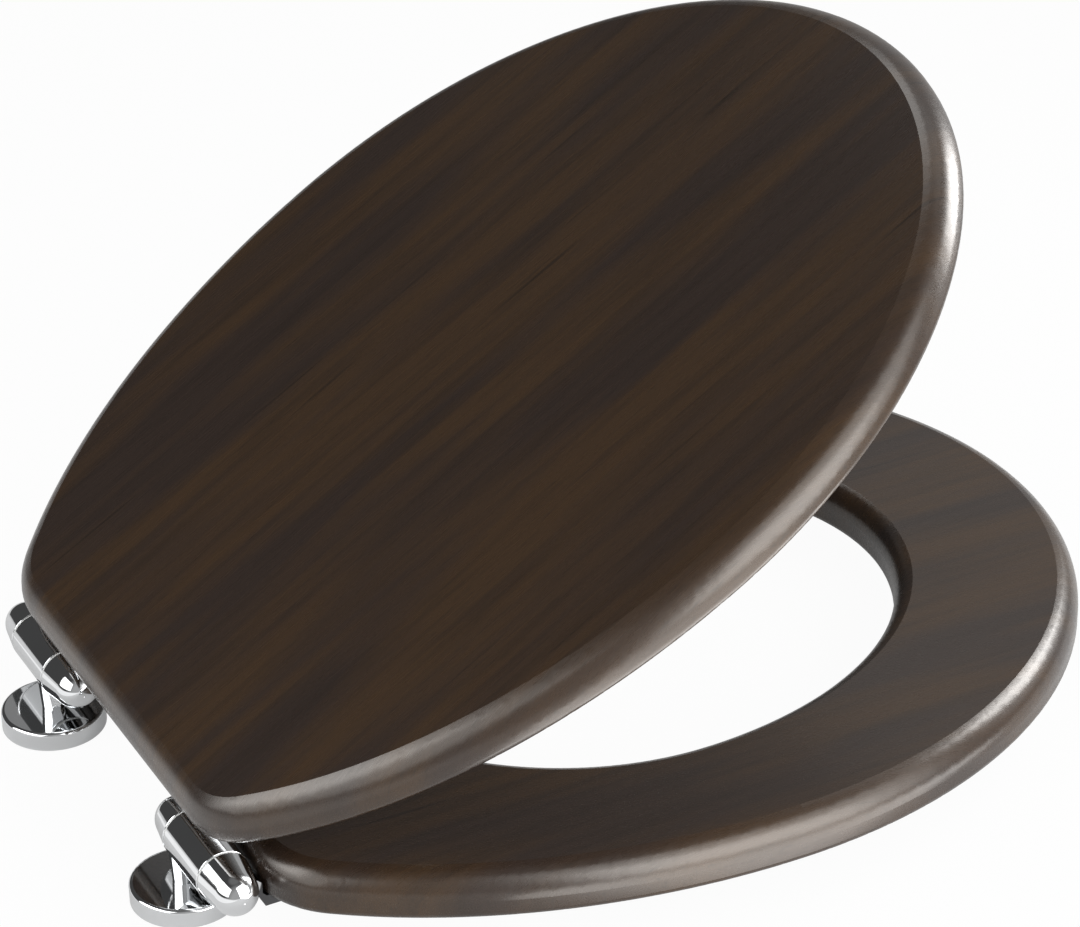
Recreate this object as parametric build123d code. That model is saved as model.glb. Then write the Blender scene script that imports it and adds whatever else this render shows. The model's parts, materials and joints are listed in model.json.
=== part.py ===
from build123d import *
import math
import os

# A wooden toilet seat: lid and ring on two chrome barrel hinges with soft-close dampers.
# Millimetres. The origin lies midway between the two fixing holes, on top of the pan.
# +X is the sitter's left, -Y the front of the seat, +Z up. The lid is modelled closed, then opened.

# Base disc, its pad and the fixing holes
fixing_spacing = 143.0        # from hole to hole across the pan
fixing_hole_radius = 2.5      # tapped for an M6 stud
fixing_hole_depth = 15.0
disc_radius = 22.5
disc_top = 8.7                # height of the flat top over the pan
disc_edge_round = 1.7
disc_lift = 0.4               # the disc's rim stands this far off the pan, on its pad
pad_outer_radius = 18.5
pad_inner_radius = 11.0
pad_thickness = 1.4

# Post, its foot through the disc and the nut that holds them together
neck_radius = 4.7             # where the post leaves the disc
foot_radius = 4.0             # threaded foot
foot_bottom = 1.2
nut_across_flats = 13.0
nut_thickness = 3.6
nut_room = 1.4                # between the nut's corners and the disc's pocket

# Hinge line and the three barrel parts on it
axis_height = 26.1
axis_ahead = 5.5              # the hinge line runs this far ahead of the fixing holes
barrel_radius = 11.5
middle_length = 33.2          # fixed middle part, on the post
middle_offset = 12.2          # its centre lies outward of the fixing hole
inner_cap_length = 21.2       # domed end that carries the lid
outer_cap_length = 21.4       # domed end that carries the seat ring
dome_tip_radius = 9.6         # round tip of a domed end, which is a blunt cone behind it
edge_break = 0.4              # small round on the edges at the joints

# Pin, damper and washers inside the barrel
pin_radius = 3.0
pin_in_post = 11.0
pin_in_cap = 15.0
damper_radius = 8.3
damper_length = 20.0
damper_key_width = 2.4
damper_key_height = 1.0
shaft_in_damper = 14.0
shaft_in_cap = 12.0
shaft_across_flats = 4.4
washer_thickness = 0.7
washer_setback = 0.5          # the washer's rim lies this far inside the barrel's face

# Lid
lid_half_width = 190.7
lid_widest = 223.0            # the widest place, ahead of the hinge line
lid_front_reach = 212.8       # from the widest place to the front
lid_rear_reach = 258.2        # rear half-axis of the outline, before the straight cut
lid_rear = 4.6                # straight rear edge, ahead of the hinge line
lid_corner_radius = 43.0
lid_thickness = 17.5
lid_edge_round = 14.2
lid_planed = 0.36             # planed off the top after rounding, which leaves a fine line there
lid_under_round = 3.0
lid_under = 15.5              # underside over the hinge line, lid closed
lid_open = 30.5               # degrees open at rest

# Seat ring
ring_half_width = 193.0
ring_widest = 216.4
ring_front_reach = 222.4
ring_rear_reach = 259.3
ring_rear = 13.0
ring_corner_radius = 43.0
ring_thickness = 20.4
ring_edge_round = 12.3
ring_planed = 0.31
ring_under_round = 3.0
ring_gap = 3.7                # from the ring's top to the closed lid
hole_half_width = 123.5
hole_widest = 206.0
hole_front_reach = 150.2
hole_rear_reach = 122.0
hole_edge_round = 10.3

# Arms from the barrel ends to the boards, and their wood screws
arm_width = 7.4               # along the hinge line, at the barrel
arm_web = 3.9
arm_setback = 1.0             # from the joint face to the arm's side
arm_root_depth = 2.9          # the arm starts this deep inside the barrel end
lid_root_angle = 75.0         # where the lid's arm leaves the barrel end, above the front
lid_web_rear = 9.5            # the web's rear side turns up here, over the hinge line
lid_web_front = 3.7           # foot of the web's front side, over the hinge line
seat_root_angle = 15.0        # half the angle over which the seat's arm leaves the barrel end
seat_web_top = 2.0            # top of the web's front side, under the hinge line
seat_web_bend = 4.5           # the web's rear side turns down here, over the ring's underside
seat_web_relief = 1.7         # slope inside the bend, clear of the ring's lower edge
leaf_width = 20.0
leaf_corner_radius = 4.0
lid_leaf_thickness = 3.0
lid_leaf_start = 7.8          # ahead of the hinge line
lid_leaf_end = 49.0
seat_leaf_thickness = 4.9
seat_leaf_start = 13.8
seat_leaf_end = 61.0
screw_pitch = 17.0
screw_end_margin = 8.0        # last screw from the leaf's end
screw_radius = 1.9
screw_head_radius = 3.8
screw_head_height = 2.1
screw_length = 14.5
screw_tip = 3.5

# Rubber buffers
lid_buffer_radius = 9.0
lid_buffer_round = 2.0
seat_buffer_length = 46.0
seat_buffer_width = 18.0
seat_buffer_corner = 6.0
seat_buffer_taper = 7.0       # degrees
stud_radius = 2.4
stud_length = 8.0
front_buffer_angle = -48.0    # round the ring, from its widest place
rear_buffer_angle = 38.0

# Clearances
running_fit = 0.05            # radial, between a shaft and its bearing
seat_fit = 0.03               # radial, between a fixed pin and its hole
joint_play = 0.05             # on each face of a washer
board_fit = 0.2               # between the ring's rear edge and the arm
rest_gap = 0.3                # between the closed lid's buffers and the ring

# Places worked out from the sizes
hinge_y = -axis_ahead
hinge_line = Axis((0, hinge_y, axis_height), (-1, 0, 0))
hole_x = fixing_spacing / 2
middle_inner = hole_x + middle_offset - middle_length / 2
middle_outer = hole_x + middle_offset + middle_length / 2
joint_gap = washer_thickness + 2 * joint_play
inner_cap_face = middle_inner - joint_gap
outer_cap_face = middle_outer + joint_gap
ring_top = axis_height + lid_under - ring_gap
ring_under = ring_top - ring_thickness
nut_pocket_radius = nut_across_flats / math.sqrt(3) + nut_room
nut_pocket_top = foot_bottom + nut_thickness + joint_play
FROM_BELOW = (Align.CENTER, Align.CENTER, Align.MIN)
FROM_ABOVE = (Align.CENTER, Align.CENTER, Align.MAX)


def ahead_plane(x):
    """Section plane across the hinge line: local x points forward, local y up, normal to -X."""
    return Plane(origin=(x, hinge_y, axis_height), x_dir=(0, -1, 0), z_dir=(-1, 0, 0))


def rod(radius, start, end):
    """Round bar on the hinge line from x = start to x = end."""
    bar = Rot(0, 90, 0) * Cylinder(radius, end - start, align=FROM_BELOW)
    return Pos(start, hinge_y, axis_height) * bar


def upright(radius, x, y, bottom, top):
    """Vertical round bar."""
    return Pos(x, y, bottom) * Cylinder(radius, top - bottom, align=FROM_BELOW)


def opened(solid):
    """Turns a piece of the closed lid to its place at rest."""
    return solid.rotate(hinge_line, lid_open)


# Boards

def board(half_width, widest, front_reach, rear_reach, rear, corner_radius, bottom, thickness):
    """Plate with an oval front, oval sides drawn in to a straight rear edge, and round corners."""
    centre = (0, hinge_y - widest)
    cut_angle = math.degrees(math.asin((widest - rear) / rear_reach))
    front = EllipticalCenterArc(centre, half_width, front_reach, 180, arc_size=180)
    left = EllipticalCenterArc(centre, half_width, rear_reach, 0, arc_size=cut_angle)
    right = EllipticalCenterArc(centre, half_width, rear_reach, 180 - cut_angle, arc_size=cut_angle)
    back = Line(left @ 1, right @ 0)
    plate = Pos(0, 0, bottom) * extrude(make_face([front, left, back, right]), thickness)
    corners = plate.edges().filter_by(Axis.Z).sort_by(Axis.Y)[-2:]
    return fillet(corners, corner_radius)


def planed(solid, top):
    """Takes off whatever stands over the height top."""
    return split(solid, bisect_by=Plane.XY.offset(top), keep=Keep.BOTTOM)


def buffer_places():
    """Name, x, y and turn of the four buffers on the middle line of the ring."""
    mid_width = (ring_half_width + hole_half_width) / 2
    mid_y = hinge_y - (ring_widest + hole_widest) / 2
    places = []
    for end, angle, reach in (
        ("front", front_buffer_angle, (ring_front_reach + hole_front_reach) / 2),
        ("rear", rear_buffer_angle, (ring_rear_reach + hole_rear_reach) / 2),
    ):
        turn = math.radians(angle)
        x = mid_width * math.cos(turn)
        y = mid_y + reach * math.sin(turn)
        slope = math.degrees(math.atan2(reach * math.cos(turn), -mid_width * math.sin(turn)))
        places.append((end + "_left", x, y, slope))
        places.append((end + "_right", -x, y, 180 - slope))
    return places


buffers = buffer_places()


def screw_rows(leaf_end):
    """Distances ahead of the hinge line of the screws in one leaf."""
    last = leaf_end - screw_end_margin
    return (last - screw_pitch, last)


def screw_body(grow=0.0):
    """Countersunk wood screw, head down and tip up. Grown, it is the hole for one."""
    shank = screw_radius + grow
    head = screw_head_radius + grow
    outline = Polyline(
        (0, 0),
        (head, 0),
        (shank, screw_head_height),
        (shank, screw_length - screw_tip),
        (0, screw_length + grow),
        close=True,
    )
    return revolve(Plane.XZ * make_face(outline), Axis.Z)


def screw_set(x, leaf_end, leaf_bottom, grow=0.0):
    """The screws of the two arms at x and -x."""
    return [
        Pos(across, hinge_y - row, leaf_bottom) * screw_body(grow)
        for across in (x, -x)
        for row in screw_rows(leaf_end)
    ]


lid_leaf_x = inner_cap_face - arm_setback - leaf_width / 2
seat_leaf_x = outer_cap_face + arm_setback + arm_width - leaf_width / 2
lid_leaf_bottom = axis_height + lid_under - lid_leaf_thickness
seat_leaf_bottom = ring_under - seat_leaf_thickness


def make_lid_panel():
    bottom = axis_height + lid_under
    panel = board(
        lid_half_width,
        lid_widest,
        lid_front_reach,
        lid_rear_reach,
        lid_rear,
        lid_corner_radius,
        bottom,
        lid_thickness + lid_planed,
    )
    panel = fillet(panel.edges().group_by(Axis.Z)[-1], lid_edge_round)
    panel = fillet(panel.edges().group_by(Axis.Z)[0], lid_under_round)
    panel = planed(panel, bottom + lid_thickness)
    for hole in screw_set(lid_leaf_x, lid_leaf_end, lid_leaf_bottom, running_fit):
        panel -= hole
    for _, x, y, _ in buffers:
        panel -= upright(stud_radius + seat_fit, x, y, bottom, bottom + stud_length + joint_play)
    return opened(panel)


def make_seat_ring():
    rough_thickness = ring_thickness + ring_planed
    plate = board(
        ring_half_width,
        ring_widest,
        ring_front_reach,
        ring_rear_reach,
        ring_rear,
        ring_corner_radius,
        ring_under,
        rough_thickness,
    )
    plate = fillet(plate.edges().group_by(Axis.Z)[-1], ring_edge_round)
    plate = fillet(plate.edges().group_by(Axis.Z)[0], ring_under_round)
    centre = (0, hinge_y - hole_widest)
    front = EllipticalCenterArc(centre, hole_half_width, hole_front_reach, 180, arc_size=180)
    rear = EllipticalCenterArc(centre, hole_half_width, hole_rear_reach, 0, arc_size=180)
    ring = plate - Pos(0, 0, ring_under) * extrude(make_face([front, rear]), rough_thickness)
    ring = fillet(ring.faces().sort_by(Axis.Z)[-1].inner_wires()[0].edges(), hole_edge_round)
    ring = fillet(ring.faces().sort_by(Axis.Z)[0].inner_wires()[0].edges(), ring_under_round)
    ring = planed(ring, ring_top)
    for hole in screw_set(seat_leaf_x, seat_leaf_end, seat_leaf_bottom, running_fit):
        ring -= hole
    for _, x, y, _ in buffers:
        ring -= upright(stud_radius + seat_fit, x, y, ring_under, ring_under + stud_length + joint_play)
    return ring


def make_lid_buffer(x, y):
    """Round rubber button under the lid, held by a stud in the board."""
    top = axis_height + lid_under
    height = ring_gap - rest_gap
    button = Pos(x, y, top) * Cylinder(lid_buffer_radius, height, align=FROM_ABOVE)
    button = fillet(button.edges().group_by(Axis.Z)[0], lid_buffer_round)
    return opened(button + upright(stud_radius, x, y, top, top + stud_length))


def make_seat_buffer(x, y, turn):
    """Tapered rubber block from the ring's underside down to the pan, held by a stud."""
    plan = RectangleRounded(seat_buffer_length, seat_buffer_width, seat_buffer_corner)
    block = extrude(plan, -ring_under, taper=seat_buffer_taper)
    block = Pos(x, y, ring_under) * (Rot(0, 0, turn) * block)
    return block + upright(stud_radius, x, y, ring_under, ring_under + stud_length)


# Hinge pieces, modelled on the left (+X) side

def make_disc():
    disc = upright(disc_radius, hole_x, 0, disc_lift, disc_top)
    disc = fillet(disc.edges().group_by(Axis.Z)[-1], disc_edge_round)
    disc -= upright(pad_outer_radius + board_fit, hole_x, 0, disc_lift, pad_thickness)
    disc -= upright(nut_pocket_radius, hole_x, 0, disc_lift, nut_pocket_top)
    return disc - upright(foot_radius + seat_fit, hole_x, 0, disc_lift, disc_top)


def make_pad():
    return upright(pad_outer_radius, hole_x, 0, 0, pad_thickness) - upright(
        pad_inner_radius, hole_x, 0, 0, pad_thickness
    )


def make_nut():
    plan = RegularPolygon(nut_across_flats / 2, 6, major_radius=False)
    nut = Pos(hole_x, 0, foot_bottom) * extrude(plan, nut_thickness)
    return nut - upright(foot_radius + seat_fit, hole_x, 0, foot_bottom, foot_bottom + nut_thickness)


def damper_key(start, end, grow=0.0):
    """Rib along the top of the damper case that keeps it from turning."""
    height = damper_radius + damper_key_height + grow
    rib = Box(end - start, damper_key_width + 2 * grow, height, align=(Align.MIN, Align.CENTER, Align.MIN))
    return Pos(start, hinge_y, axis_height) * rib


def damper_span(inner):
    """Where the damper case lies on the hinge line: at the inner or the outer end of the middle part."""
    if inner:
        return middle_inner, middle_inner + damper_length
    return middle_outer - damper_length, middle_outer


def make_post(damper_inner):
    """Post with the fixed middle barrel, its bores and its threaded foot."""
    barrel = rod(barrel_radius, middle_inner, middle_outer)
    barrel = fillet(barrel.edges().filter_by(GeomType.CIRCLE), edge_break)
    neck_top_radius = barrel_radius - axis_ahead - board_fit
    neck = Pos(hole_x, 0, disc_top) * Cone(
        neck_radius, neck_top_radius, axis_height - disc_top, align=FROM_BELOW
    )
    trim = Pos(middle_inner, 0, 0) * Box(
        disc_radius, disc_radius, axis_height, align=(Align.MAX, Align.CENTER, Align.MIN)
    )
    foot = upright(foot_radius, hole_x, 0, foot_bottom, disc_top)
    post = barrel + (neck - trim) + foot
    post -= upright(fixing_hole_radius, hole_x, 0, foot_bottom, foot_bottom + fixing_hole_depth)
    start, end = damper_span(damper_inner)
    post -= rod(damper_radius + seat_fit, start, end) + damper_key(start, end, seat_fit)
    return post - rod(pin_radius + seat_fit, middle_inner, middle_outer)


def make_damper_case(damper_inner):
    """Damper cartridge with the blind bore of its shaft."""
    start, end = damper_span(damper_inner)
    case = rod(damper_radius, start, end) + damper_key(start, end)
    if damper_inner:
        return case - rod(pin_radius + running_fit, start, start + shaft_in_damper + joint_play)
    return case - rod(pin_radius + running_fit, end - shaft_in_damper - joint_play, end)


def shaft_body(damper_inner, grow=0.0):
    """Damper shaft: round in the case, with two flats in the barrel end that it drives."""
    flats = shaft_across_flats + 2 * grow
    flat_length = shaft_in_cap + grow
    if damper_inner:
        flat_start = inner_cap_face - flat_length
        shaft = rod(pin_radius + grow, flat_start, middle_inner + shaft_in_damper)
    else:
        flat_start = outer_cap_face
        shaft = rod(pin_radius + grow, middle_outer - shaft_in_damper, flat_start + flat_length)
    block = Box(flat_length, barrel_radius, 2 * barrel_radius, align=(Align.MIN, Align.MIN, Align.CENTER))
    rear_cut = Pos(flat_start, hinge_y + flats / 2, axis_height) * block
    front_cut = mirror(rear_cut, Plane(origin=(0, hinge_y, 0), z_dir=(0, 1, 0)))
    return shaft - rear_cut - front_cut


def make_shaft(damper_inner):
    shaft = shaft_body(damper_inner)
    return opened(shaft) if damper_inner else shaft


def make_pin(damper_inner):
    """Plain pin at the end that has no damper."""
    if damper_inner:
        return rod(pin_radius, middle_outer - pin_in_post, outer_cap_face + pin_in_cap)
    return rod(pin_radius, inner_cap_face - pin_in_cap, middle_inner + pin_in_post)


def make_washer(start):
    """Thrust washer in a joint of the barrel."""
    begin = start + joint_play
    end = begin + washer_thickness
    return rod(barrel_radius - washer_setback, begin, end) - rod(pin_radius + board_fit, begin, end)


def dome(face_x, length, outward):
    """Domed barrel end: a blunt cone from the flat face at the joint, with a round tip."""
    tip_x = length - dome_tip_radius
    touch = math.asin(dome_tip_radius / math.hypot(tip_x, barrel_radius)) + math.atan2(tip_x, barrel_radius)
    tip = CenterArc((tip_x, 0), dome_tip_radius, 0, math.degrees(touch))
    profile = make_face([
        Line((0, 0), (length, 0)),
        tip,
        Line(tip @ 1, (0, barrel_radius)),
        Line((0, barrel_radius), (0, 0)),
    ])
    shell = revolve(profile, Axis.X)
    shell = fillet(shell.edges().group_by(Axis.X)[0], edge_break)
    if not outward:
        shell = mirror(shell, Plane.YZ)
    return Pos(face_x, hinge_y, axis_height) * shell


def arm(points, x_low):
    """Web of an arm: an outline across the hinge line, given a width along it."""
    outline = ahead_plane(x_low + arm_width) * make_face(Polyline(*points, close=True))
    return extrude(outline, arm_width)


def leaf(x, start, end, bottom, thickness):
    """Flat screw plate of an arm, with its front corners rounded."""
    plate = Pos(x, hinge_y - start, bottom) * Box(
        leaf_width, end - start, thickness, align=(Align.CENTER, Align.MAX, Align.MIN)
    )
    return fillet(plate.edges().filter_by(Axis.Z).sort_by(Axis.Y)[:2], leaf_corner_radius)


def drilled(knuckle, x, leaf_end, leaf_bottom):
    """Cuts the countersunk screw holes of a leaf."""
    for row in screw_rows(leaf_end):
        knuckle -= Pos(x, hinge_y - row, leaf_bottom) * screw_body(running_fit)
    return knuckle


def make_lid_knuckle(damper_inner):
    """Inner barrel end with the arm that rises to the lid's underside."""
    inside = barrel_radius - arm_root_depth
    root_turn = math.radians(lid_root_angle)
    web_front = lid_leaf_start + arm_web
    web = [
        (inside * math.cos(root_turn), inside * math.sin(root_turn)),
        (lid_leaf_start, lid_web_rear),
        (lid_leaf_start, lid_under),
        (web_front, lid_under),
        (web_front, lid_web_front),
        (inside, 0),
    ]
    knuckle = dome(inner_cap_face, inner_cap_length - joint_gap, False)
    knuckle += arm(web, inner_cap_face - arm_setback - arm_width)
    knuckle += leaf(lid_leaf_x, lid_leaf_start, lid_leaf_end, lid_leaf_bottom, lid_leaf_thickness)
    knuckle = drilled(knuckle, lid_leaf_x, lid_leaf_end, lid_leaf_bottom)
    if damper_inner:
        knuckle -= shaft_body(True, running_fit)
    else:
        pin_end = inner_cap_face - pin_in_cap - joint_play
        knuckle -= rod(pin_radius + running_fit, pin_end, inner_cap_face)
    return opened(knuckle)


def make_seat_knuckle(damper_inner):
    """Outer barrel end with the arm that drops behind the ring and runs under it."""
    inside = barrel_radius - arm_root_depth
    root_turn = math.radians(seat_root_angle)
    web_front = ring_rear - board_fit
    under = ring_under - axis_height
    web = [
        (inside * math.cos(root_turn), -inside * math.sin(root_turn)),
        (web_front - arm_web, under + seat_web_bend),
        (seat_leaf_start, under - seat_leaf_thickness),
        (seat_leaf_start + arm_web, under - seat_leaf_thickness),
        (seat_leaf_start + arm_web, under),
        (web_front + seat_web_relief, under),
        (web_front, under + seat_web_relief),
        (web_front, -seat_web_top),
        (inside * math.cos(root_turn), inside * math.sin(root_turn)),
    ]
    knuckle = dome(outer_cap_face, outer_cap_length - joint_gap, True)
    knuckle += arm(web, outer_cap_face + arm_setback)
    knuckle += leaf(seat_leaf_x, seat_leaf_start, seat_leaf_end, seat_leaf_bottom, seat_leaf_thickness)
    knuckle = drilled(knuckle, seat_leaf_x, seat_leaf_end, seat_leaf_bottom)
    if damper_inner:
        pin_end = outer_cap_face + pin_in_cap + joint_play
        return knuckle - rod(pin_radius + running_fit, outer_cap_face, pin_end)
    return knuckle - shaft_body(False, running_fit)


# The left hinge damps the lid, so its damper drives the inner end. The right hinge damps the seat.
parts = {"lid_panel": make_lid_panel(), "seat_ring": make_seat_ring()}
for hand, damper_inner in (("left", True), ("right", False)):
    pieces = {
        "base_disc": make_disc(),
        "base_pad": make_pad(),
        "post_nut": make_nut(),
        "hinge_post": make_post(damper_inner),
        "damper_case": make_damper_case(damper_inner),
        "damper_shaft": make_shaft(damper_inner),
        "hinge_pin": make_pin(damper_inner),
        "inner_washer": make_washer(middle_inner - joint_gap),
        "outer_washer": make_washer(middle_outer),
        "lid_knuckle": make_lid_knuckle(damper_inner),
        "seat_knuckle": make_seat_knuckle(damper_inner),
    }
    for name, piece in pieces.items():
        parts[f"{name}_{hand}"] = piece if hand == "left" else mirror(piece, Plane.YZ)
for place, x, y, turn in buffers:
    parts["lid_buffer_" + place] = make_lid_buffer(x, y)
    parts["seat_buffer_" + place] = make_seat_buffer(x, y, turn)
parts["lid_screws"] = Compound(
    [opened(screw).solid() for screw in screw_set(lid_leaf_x, lid_leaf_end, lid_leaf_bottom)]
)
parts["seat_screws"] = Compound(
    [screw.solid() for screw in screw_set(seat_leaf_x, seat_leaf_end, seat_leaf_bottom)]
)

os.makedirs("parts", exist_ok=True)
for name, piece in parts.items():
    export_step(piece, f"parts/{name}.step")
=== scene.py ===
import json
import math

import bpy
from mathutils import Matrix, Vector

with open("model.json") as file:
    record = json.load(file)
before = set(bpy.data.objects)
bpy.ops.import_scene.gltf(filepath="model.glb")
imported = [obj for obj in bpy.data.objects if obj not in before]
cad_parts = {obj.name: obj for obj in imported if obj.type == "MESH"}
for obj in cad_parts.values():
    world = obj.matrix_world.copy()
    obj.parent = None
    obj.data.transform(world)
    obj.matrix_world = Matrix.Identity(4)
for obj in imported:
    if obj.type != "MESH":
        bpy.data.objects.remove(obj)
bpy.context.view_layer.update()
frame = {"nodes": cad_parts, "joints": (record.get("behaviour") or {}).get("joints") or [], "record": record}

nodes = frame["nodes"]
joints = {joint["name"]: joint for joint in frame["joints"]}
hingePoint = tuple(joints["lid_hinge"]["pos_m"])
lidOpen = -math.radians(joints["lid_hinge"]["range_deg"][0])  # the lid at rest, from closed
print("frame loaded:", len(nodes), "nodes, lid open", round(math.degrees(lidOpen), 1), "degrees")


# Small helpers for node trees

midNoise = (0.3, 0.7)  # a noise node's values lie mostly between these


def newMaterial(name):
    material = bpy.data.materials.new(name)
    material.use_nodes = True
    tree = material.node_tree
    return material, tree, tree.nodes["Principled BSDF"]


def addNode(tree, kind, **settings):
    node = tree.nodes.new(kind)
    for key, value in settings.items():
        setattr(node, key, value)
    return node


def setInputs(node, values):
    for socket, value in values.items():
        node.inputs[socket].default_value = value


def feed(tree, inlet, value):
    # a socket is linked, a plain value is set
    if isinstance(value, bpy.types.NodeSocket):
        tree.links.new(value, inlet)
    else:
        inlet.default_value = value


def place(tree, size=(1, 1, 1), turn=(0, 0, 0), start=(0, 0, 0)):
    # object coordinates measured from start, turned back and divided by size
    coords = addNode(tree, "ShaderNodeTexCoord")
    mapping = addNode(tree, "ShaderNodeMapping", vector_type="TEXTURE")
    setInputs(mapping, {"Location": start, "Rotation": turn, "Scale": size})
    tree.links.new(coords.outputs["Object"], mapping.inputs["Vector"])
    return mapping.outputs["Vector"]


def noise(tree, vector, scale, detail, roughness=0.5):
    node = addNode(tree, "ShaderNodeTexNoise")
    setInputs(node, {"Scale": scale, "Detail": detail, "Roughness": roughness})
    tree.links.new(vector, node.inputs["Vector"])
    return node.outputs["Fac"]


def spread(tree, value, source, target):
    # value from the source range to the target range, held at the ends
    node = addNode(tree, "ShaderNodeMapRange", clamp=True)
    setInputs(node, dict(zip(("From Min", "From Max", "To Min", "To Max"), (*source, *target))))
    tree.links.new(value, node.inputs["Value"])
    return node.outputs["Result"]


def ramp(tree, value, ends, low, high):
    # from colour low to colour high between the two ends
    node = addNode(tree, "ShaderNodeValToRGB")
    for element, position, colour in zip(node.color_ramp.elements, ends, (low, high)):
        element.position = position
        element.color = (*colour, 1.0)
    tree.links.new(value, node.inputs["Fac"])
    return node.outputs["Color"]


def mixColour(tree, share, first, second):
    node = addNode(tree, "ShaderNodeMix", data_type="RGBA")
    inlets = {s.name: s for s in node.inputs if s.enabled and s.type in ("RGBA", "VALUE")}
    for socket, value in (("Factor", share), ("A", first), ("B", second)):
        feed(tree, inlets[socket], (*value, 1.0) if isinstance(value, tuple) else value)
    return [s for s in node.outputs if s.type == "RGBA"][0]


def mathNode(tree, operation, first, second):
    node = addNode(tree, "ShaderNodeMath", operation=operation)
    for inlet, value in zip(node.inputs, (first, second)):
        feed(tree, inlet, value)
    return node.outputs[0]


def bump(tree, shader, height, strength, distance):
    node = addNode(tree, "ShaderNodeBump")
    setInputs(node, {"Strength": strength, "Distance": distance})
    tree.links.new(height, node.inputs["Height"])
    tree.links.new(node.outputs["Normal"], shader.inputs["Normal"])


# Dark walnut: bands, streaks, a few thin dark lines and short pores, all drawn out along the board

walnut = {
    "warm": (0.0352, 0.0188, 0.0084),
    "cool": (0.0218, 0.0136, 0.0101),
    "dark": (0.0118, 0.0074, 0.0053),
    "line": (0.0052, 0.0034, 0.0025),
    "layers": {  # metres across, along and through the board, then the noise's detail and roughness
        "bands": {"size": (0.021, 0.20, 0.05), "noise": (2.0, 0.45)},
        "streaks": {"size": (0.0058, 0.105, 0.02), "noise": (3.0, 0.55)},
        "lines": {"size": (0.0030, 0.10, 0.02), "noise": (1.0, 0.5)},
        "lineZones": {"size": (0.028, 0.25, 0.05), "noise": (1.0, 0.5)},
        "pores": {"size": (0.00055, 0.011, 0.002), "noise": (2.0, 0.6)},
    },
    "bandEnds": (0.39, 0.61),
    "streakShare": ((0.46, 0.76), (0.0, 0.52)),   # noise range, then how much of the darker colour
    "lineShare": ((0.68, 0.76), (0.0, 0.6)),
    "zoneShare": ((0.50, 0.60), (0.0, 1.0)),
    "poreShare": ((0.56, 0.72), (0.0, 0.40)),
    "poreBump": (0.25, 0.00005),                  # strength, and depth in metres
    "roughness": (0.25, 0.32),
    "ior": 1.5,
    "shine": (1.0, 0.94, 0.87),                   # tint of the reflection under the lacquer
    "lacquer": 0.5,
    "lacquerRough": 0.27,
    "ringStart": (1.9, 0.6, 0.2),                 # the ring is cut from another place in the grain
}


def walnutMaterial(name, turn, start):
    material, tree, shader = newMaterial(name)
    layers = {
        layer: noise(tree, place(tree, look["size"], turn, start), 1.0, *look["noise"])
        for layer, look in walnut["layers"].items()
    }
    streaks = spread(tree, layers["streaks"], *walnut["streakShare"])
    lines = spread(tree, layers["lines"], *walnut["lineShare"])
    zones = spread(tree, layers["lineZones"], *walnut["zoneShare"])
    pores = spread(tree, layers["pores"], *walnut["poreShare"])
    colour = ramp(tree, layers["bands"], walnut["bandEnds"], walnut["cool"], walnut["warm"])
    colour = mixColour(tree, streaks, colour, walnut["dark"])
    colour = mixColour(tree, mathNode(tree, "MULTIPLY", lines, zones), colour, walnut["line"])
    colour = mixColour(tree, pores, colour, walnut["line"])
    tree.links.new(colour, shader.inputs["Base Color"])
    rough = spread(tree, layers["pores"], midNoise, walnut["roughness"])
    tree.links.new(rough, shader.inputs["Roughness"])
    shader.inputs["IOR"].default_value = walnut["ior"]
    shader.inputs["Specular Tint"].default_value = (*walnut["shine"], 1.0)
    shader.inputs["Coat Weight"].default_value = walnut["lacquer"]
    shader.inputs["Coat Roughness"].default_value = walnut["lacquerRough"]
    bump(tree, shader, layers["pores"], *walnut["poreBump"])
    return material


# Metals

chrome = {
    "dim": (0.7520, 0.7614, 0.7708),
    "bright": (0.80, 0.81, 0.82),
    "haze": (0.035, 0.075),       # roughness
    "cloud": (38.0, 4.0),         # noise scale and detail
    "fine": (900.0, 2.0),
    "fineBump": (0.02, 0.00002),  # strength, and depth in metres
}


def chromeMaterial():
    material, tree, shader = newMaterial("polishedChrome")
    where = place(tree)
    cloud = noise(tree, where, *chrome["cloud"])
    tint = ramp(tree, cloud, midNoise, chrome["dim"], chrome["bright"])
    tree.links.new(tint, shader.inputs["Base Color"])
    tree.links.new(spread(tree, cloud, midNoise, chrome["haze"]), shader.inputs["Roughness"])
    shader.inputs["Metallic"].default_value = 1.0
    bump(tree, shader, noise(tree, where, *chrome["fine"]), *chrome["fineBump"])
    return material


# the arm's dark colours are partly plating and partly painted shade
seatArm = {
    "dim": (0.085, 0.085, 0.088),
    "bright": (0.125, 0.125, 0.128),
    "rough": 0.34,
    "from": (0.0122, 0.0127),     # metres from the hinge line
}


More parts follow.
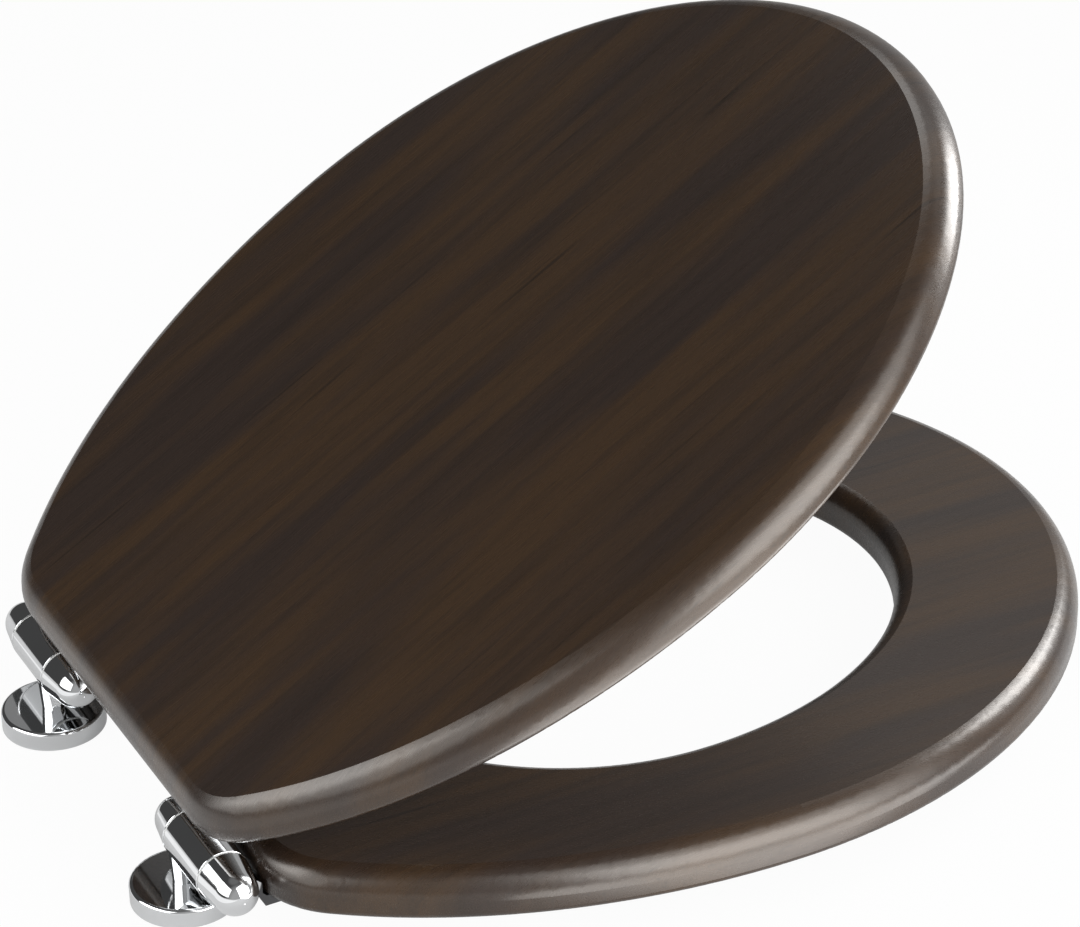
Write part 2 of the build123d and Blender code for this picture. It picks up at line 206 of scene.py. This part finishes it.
def seatArmMaterial():
    # chrome round the barrel, dark on the arm, partly a darker plating and partly painted shade standing in
    # for the shadow the arm sits in and reflects: split by the distance from the hinge line
    material, tree, shader = newMaterial("seatArmPlatingAndShade")
    where = place(tree)
    cloud = noise(tree, where, *chrome["cloud"])
    across = addNode(tree, "ShaderNodeVectorMath", operation="MULTIPLY")
    across.inputs[1].default_value = (0, 1, 1)
    tree.links.new(place(tree, start=(0, *hingePoint[1:])), across.inputs[0])
    reach = addNode(tree, "ShaderNodeVectorMath", operation="LENGTH")
    tree.links.new(across.outputs["Vector"], reach.inputs[0])
    onArm = spread(tree, reach.outputs["Value"], seatArm["from"], (0.0, 1.0))
    barrel = ramp(tree, cloud, midNoise, chrome["dim"], chrome["bright"])
    arm = ramp(tree, cloud, midNoise, seatArm["dim"], seatArm["bright"])
    tree.links.new(mixColour(tree, onArm, barrel, arm), shader.inputs["Base Color"])
    haze = spread(tree, cloud, midNoise, chrome["haze"])
    rough = mathNode(tree, "MAXIMUM", haze, mathNode(tree, "MULTIPLY", onArm, seatArm["rough"]))
    tree.links.new(rough, shader.inputs["Roughness"])
    shader.inputs["Metallic"].default_value = 1.0
    bump(tree, shader, noise(tree, where, *chrome["fine"]), *chrome["fineBump"])
    return material


steel = {
    "dark": (0.5400, 0.5400, 0.5535),
    "pale": (0.58, 0.58, 0.59),
    "brush": (0.016, 0.0011, 0.0011),  # metres along and across the brush marks
    "brushDetail": 3.0,
    "brushBump": (0.15, 0.00003),
    "rough": (0.22, 0.42),
}


def steelMaterial():
    material, tree, shader = newMaterial("turnedSteel")
    brushed = noise(tree, place(tree, steel["brush"]), 1.0, steel["brushDetail"])
    tint = ramp(tree, brushed, midNoise, steel["dark"], steel["pale"])
    tree.links.new(tint, shader.inputs["Base Color"])
    tree.links.new(spread(tree, brushed, midNoise, steel["rough"]), shader.inputs["Roughness"])
    shader.inputs["Metallic"].default_value = 1.0
    bump(tree, shader, brushed, *steel["brushBump"])
    return material


# Plastics

moulded = {
    "nylonWhite": {
        "low": (0.60, 0.60, 0.58),
        "high": (0.74, 0.74, 0.72),
        "rough": (0.38, 0.55),
        "grain": (2200.0, 2.0),   # noise scale and detail
    },
    "bufferRubber": {
        "low": (0.50, 0.50, 0.48),
        "high": (0.64, 0.64, 0.62),
        "rough": (0.55, 0.75),
        "grain": (1500.0, 2.0),
    },
}
mould = {"cloud": (120.0, 4.0), "grainBump": (0.2, 0.00005)}  # the same for both


def mouldedMaterial(name):
    look = moulded[name]
    material, tree, shader = newMaterial(name)
    where = place(tree)
    cloud = noise(tree, where, *mould["cloud"])
    grain = noise(tree, where, *look["grain"])
    tint = ramp(tree, cloud, midNoise, look["low"], look["high"])
    tree.links.new(tint, shader.inputs["Base Color"])
    tree.links.new(spread(tree, grain, midNoise, look["rough"]), shader.inputs["Roughness"])
    bump(tree, shader, grain, *mould["grainBump"])
    return material


finishes = {  # by material slot
    "chrome": chromeMaterial(),
    "steel": steelMaterial(),
    "nylon": mouldedMaterial("nylonWhite"),
    "rubber": mouldedMaterial("bufferRubber"),
}
special = {  # by node
    "seat_knuckle_left": seatArmMaterial(),
    "lid_panel": walnutMaterial("lidWalnut", (-lidOpen, 0, 0), hingePoint),
    "seat_ring": walnutMaterial("seatWalnut", (0, 0, 0), walnut["ringStart"]),
}
special["seat_knuckle_right"] = special["seat_knuckle_left"]
for part in frame["record"]["subparts"]:
    node = nodes[part["node"]]
    finish = special.get(part["node"]) or finishes[part["material_slot"]]
    node.data.materials.clear()
    node.data.materials.append(finish)
print("materials on", len(nodes), "nodes")


# Camera, fitted to the photograph

camera = {
    "azimuth": 243.05,                    # degrees, 0 looks along +Y
    "elevation": 29.24,
    "roll": -1.24,
    "position": (-1.33130, 0.47417, 0.98450),
    "focalPixels": 4074.8,
    "opticalCentre": (540.95, 379.71),    # pixels of the 1080 x 927 image
    "image": (1080, 927),
    "sensor": 36.0,
    "farClip": 50,
}


def addCamera():
    turn, lift, roll = (math.radians(camera[key]) for key in ("azimuth", "elevation", "roll"))
    back = Vector((math.sin(turn) * math.cos(lift), -math.cos(turn) * math.cos(lift), math.sin(lift)))
    level = Vector((math.cos(turn), math.sin(turn), 0))
    upright = back.cross(level)
    right = level * math.cos(roll) + upright * math.sin(roll)
    up = upright * math.cos(roll) - level * math.sin(roll)
    width, height = camera["image"]
    data = bpy.data.cameras.new("photoCamera")
    data.sensor_fit = "HORIZONTAL"
    data.sensor_width = camera["sensor"]
    data.lens = camera["focalPixels"] * camera["sensor"] / width
    data.shift_x = (width / 2 - camera["opticalCentre"][0]) / width
    data.shift_y = (camera["opticalCentre"][1] - height / 2) / width
    data.clip_end = camera["farClip"]
    viewer = bpy.data.objects.new("photoCamera", data)
    axes = Matrix((right, up, back)).transposed().to_4x4()
    viewer.matrix_world = Matrix.Translation(camera["position"]) @ axes
    bpy.context.scene.collection.objects.link(viewer)
    bpy.context.scene.camera = viewer


addCamera()
print("camera set")


# Studio: lamps where the photograph's highlights say, a surround that is dim behind, a pale floor

def addLamp(name, size, power, location, turn):
    data = bpy.data.lights.new(name, "AREA")
    data.shape = "RECTANGLE"
    data.size, data.size_y = size
    data.energy = power
    lamp = bpy.data.objects.new(name, data)
    lamp.location = location
    lamp.rotation_euler = turn
    lamp.visible_camera = False
    bpy.context.scene.collection.objects.link(lamp)


seatMiddle = (0.0, -0.22, 0.06)
softBoxes = {  # direction from the seat's middle in degrees (0 is +X, -90 the front), size and power
    "frontBox": {"around": -91, "above": 30, "away": 0.83, "size": (0.31, 0.37), "power": 4.1},
    "frontWide": {"around": -92, "above": 28, "away": 0.90, "size": (0.66, 0.66), "power": 1.2},
    "leftBox": {"around": -22, "above": 53, "away": 1.6, "size": (0.60, 0.58), "power": 2.0},
    "leftWide": {"around": -38, "above": 57, "away": 1.6, "size": (1.30, 0.56), "power": 1.5},
    "sideBox": {"around": -166, "above": 17, "away": 1.3, "size": (1.00, 0.90), "power": 10.5},
    "sideWide": {"around": -160, "above": 30, "away": 1.35, "size": (1.50, 1.25), "power": 13.0},
    "discCard": {"around": -1.9, "above": 26.8, "away": 1.01, "size": (0.22, 0.25), "power": 0.03},
    "rearBox": {"around": 85, "above": 31, "away": 1.4, "size": (0.75, 0.58), "power": 4.6},
    "rearWide": {"around": 95, "above": 26, "away": 1.45, "size": (1.75, 1.02), "power": 11.5},
}
uprightBoxes = ("frontBox", "frontWide")  # these stand straight, the others face the seat


def addSoftBoxes():
    for name, box in softBoxes.items():
        around, above = math.radians(box["around"]), math.radians(box["above"])
        x, y = math.cos(around) * math.cos(above), math.sin(around) * math.cos(above)
        toBox = Vector((x, y, math.sin(above)))
        facing = Vector((x, y, 0)) if name in uprightBoxes else toBox
        turn = facing.to_track_quat("Z", "Y").to_euler()
        addLamp(name, box["size"], box["power"], Vector(seatMiddle) + toBox * box["away"], turn)


floorPanels = {  # light panels that lie on the floor beside and behind the seat, from and to in metres
    "sidePanel": {"across": (-0.38, -0.215), "along": (-0.48, -0.08), "power": 0.75},
    "sideFar": {"across": (-0.95, -0.38), "along": (-0.48, -0.08), "power": 1.43},
    "rearPanel": {"across": (-0.45, 0.20), "along": (0.06, 0.50), "power": 0.28},
}
panelHeight = 0.001
facingUp = (math.pi, 0, 0)


def addFloorPanels():
    for name, panel in floorPanels.items():
        sides = (panel["across"], panel["along"])
        size = [high - low for low, high in sides]
        location = (*(sum(side) / 2 for side in sides), panelHeight)
        addLamp(name, size, panel["power"], location, facingUp)


def shinyRay(tree, path):
    return mathNode(tree, "MAXIMUM", path.outputs["Is Glossy Ray"], path.outputs["Is Transmission Ray"])


white = (1, 1, 1, 1)
surround = {
    "fill": 0.32,                 # level for matt surfaces
    "rearLevel": 0.06,            # what shiny surfaces see behind the seat
    "frontLevel": 0.42,           # ahead of it
    "sideLevel": 0.42,            # on the sitter's right
    "topLevel": 0.16,             # and straight above
    "frontFrom": (-0.28, -0.52),  # where these begin and are full, along the direction's Y
    "sideFrom": (-0.2, -0.8),     # X
    "topFrom": (0.82, 0.97),      # and Z
}


def addSurround():
    world = bpy.data.worlds.new("studioSurround")
    bpy.context.scene.world = world
    world.use_nodes = True
    tree = world.node_tree
    tree.nodes.clear()
    path = addNode(tree, "ShaderNodeLightPath")
    coords = addNode(tree, "ShaderNodeTexCoord")
    split = addNode(tree, "ShaderNodeSeparateXYZ")
    tree.links.new(coords.outputs["Generated"], split.inputs[0])
    levels = (surround["rearLevel"], surround["frontLevel"])
    ahead = spread(tree, split.outputs["Y"], surround["frontFrom"], levels)
    side = spread(tree, split.outputs["X"], surround["sideFrom"], (0.0, surround["sideLevel"]))
    above = spread(tree, split.outputs["Z"], surround["topFrom"], (0.0, surround["topLevel"]))
    shinyLevel = mathNode(tree, "MAXIMUM", mathNode(tree, "MAXIMUM", ahead, side), above)
    mattShare = mathNode(tree, "MULTIPLY", path.outputs["Is Diffuse Ray"], surround["fill"])
    shinyShare = mathNode(tree, "MULTIPLY", shinyRay(tree, path), shinyLevel)
    unseen = mathNode(tree, "ADD", mattShare, shinyShare)
    light = addNode(tree, "ShaderNodeBackground")
    light.inputs["Color"].default_value = white
    strength = mathNode(tree, "ADD", unseen, path.outputs["Is Camera Ray"])
    tree.links.new(strength, light.inputs["Strength"])
    output = addNode(tree, "ShaderNodeOutputWorld")
    tree.links.new(light.outputs[0], output.inputs[0])


paleFloor = {
    "size": 30.0,
    "colour": (0.52, 0.52, 0.52),
    "glow": 0.96,                 # share of the floor that shows plain white to the camera
    "shine": 0.27,                # and to shiny surfaces
    "glowLevel": 1.0,
}


def addFloor():
    half = paleFloor["size"] / 2
    corners = [(-half, -half, 0), (half, -half, 0), (half, half, 0), (-half, half, 0)]
    mesh = bpy.data.meshes.new("studioFloor")
    mesh.from_pydata(corners, [], [(0, 1, 2, 3)])
    floor = bpy.data.objects.new("studioFloor", mesh)
    bpy.context.scene.collection.objects.link(floor)
    material, tree, shader = newMaterial("paleFloor")
    tree.nodes.remove(shader)
    path = addNode(tree, "ShaderNodeLightPath")
    matt = addNode(tree, "ShaderNodeBsdfDiffuse")
    matt.inputs["Color"].default_value = (*paleFloor["colour"], 1)
    glow = addNode(tree, "ShaderNodeEmission")
    setInputs(glow, {"Color": white, "Strength": paleFloor["glowLevel"]})
    seen = mathNode(tree, "MULTIPLY", path.outputs["Is Camera Ray"], paleFloor["glow"])
    shown = mathNode(tree, "MULTIPLY", shinyRay(tree, path), paleFloor["shine"])
    mix = addNode(tree, "ShaderNodeMixShader")
    tree.links.new(mathNode(tree, "MAXIMUM", seen, shown), mix.inputs[0])
    tree.links.new(matt.outputs[0], mix.inputs[1])
    tree.links.new(glow.outputs[0], mix.inputs[2])
    tree.links.new(mix.outputs[0], tree.nodes["Material Output"].inputs["Surface"])
    mesh.materials.append(material)


addSoftBoxes()
addFloorPanels()
addSurround()
addFloor()
bpy.context.scene.view_settings.view_transform = "Standard"
print("studio set:", len(softBoxes) + len(floorPanels), "lamps")
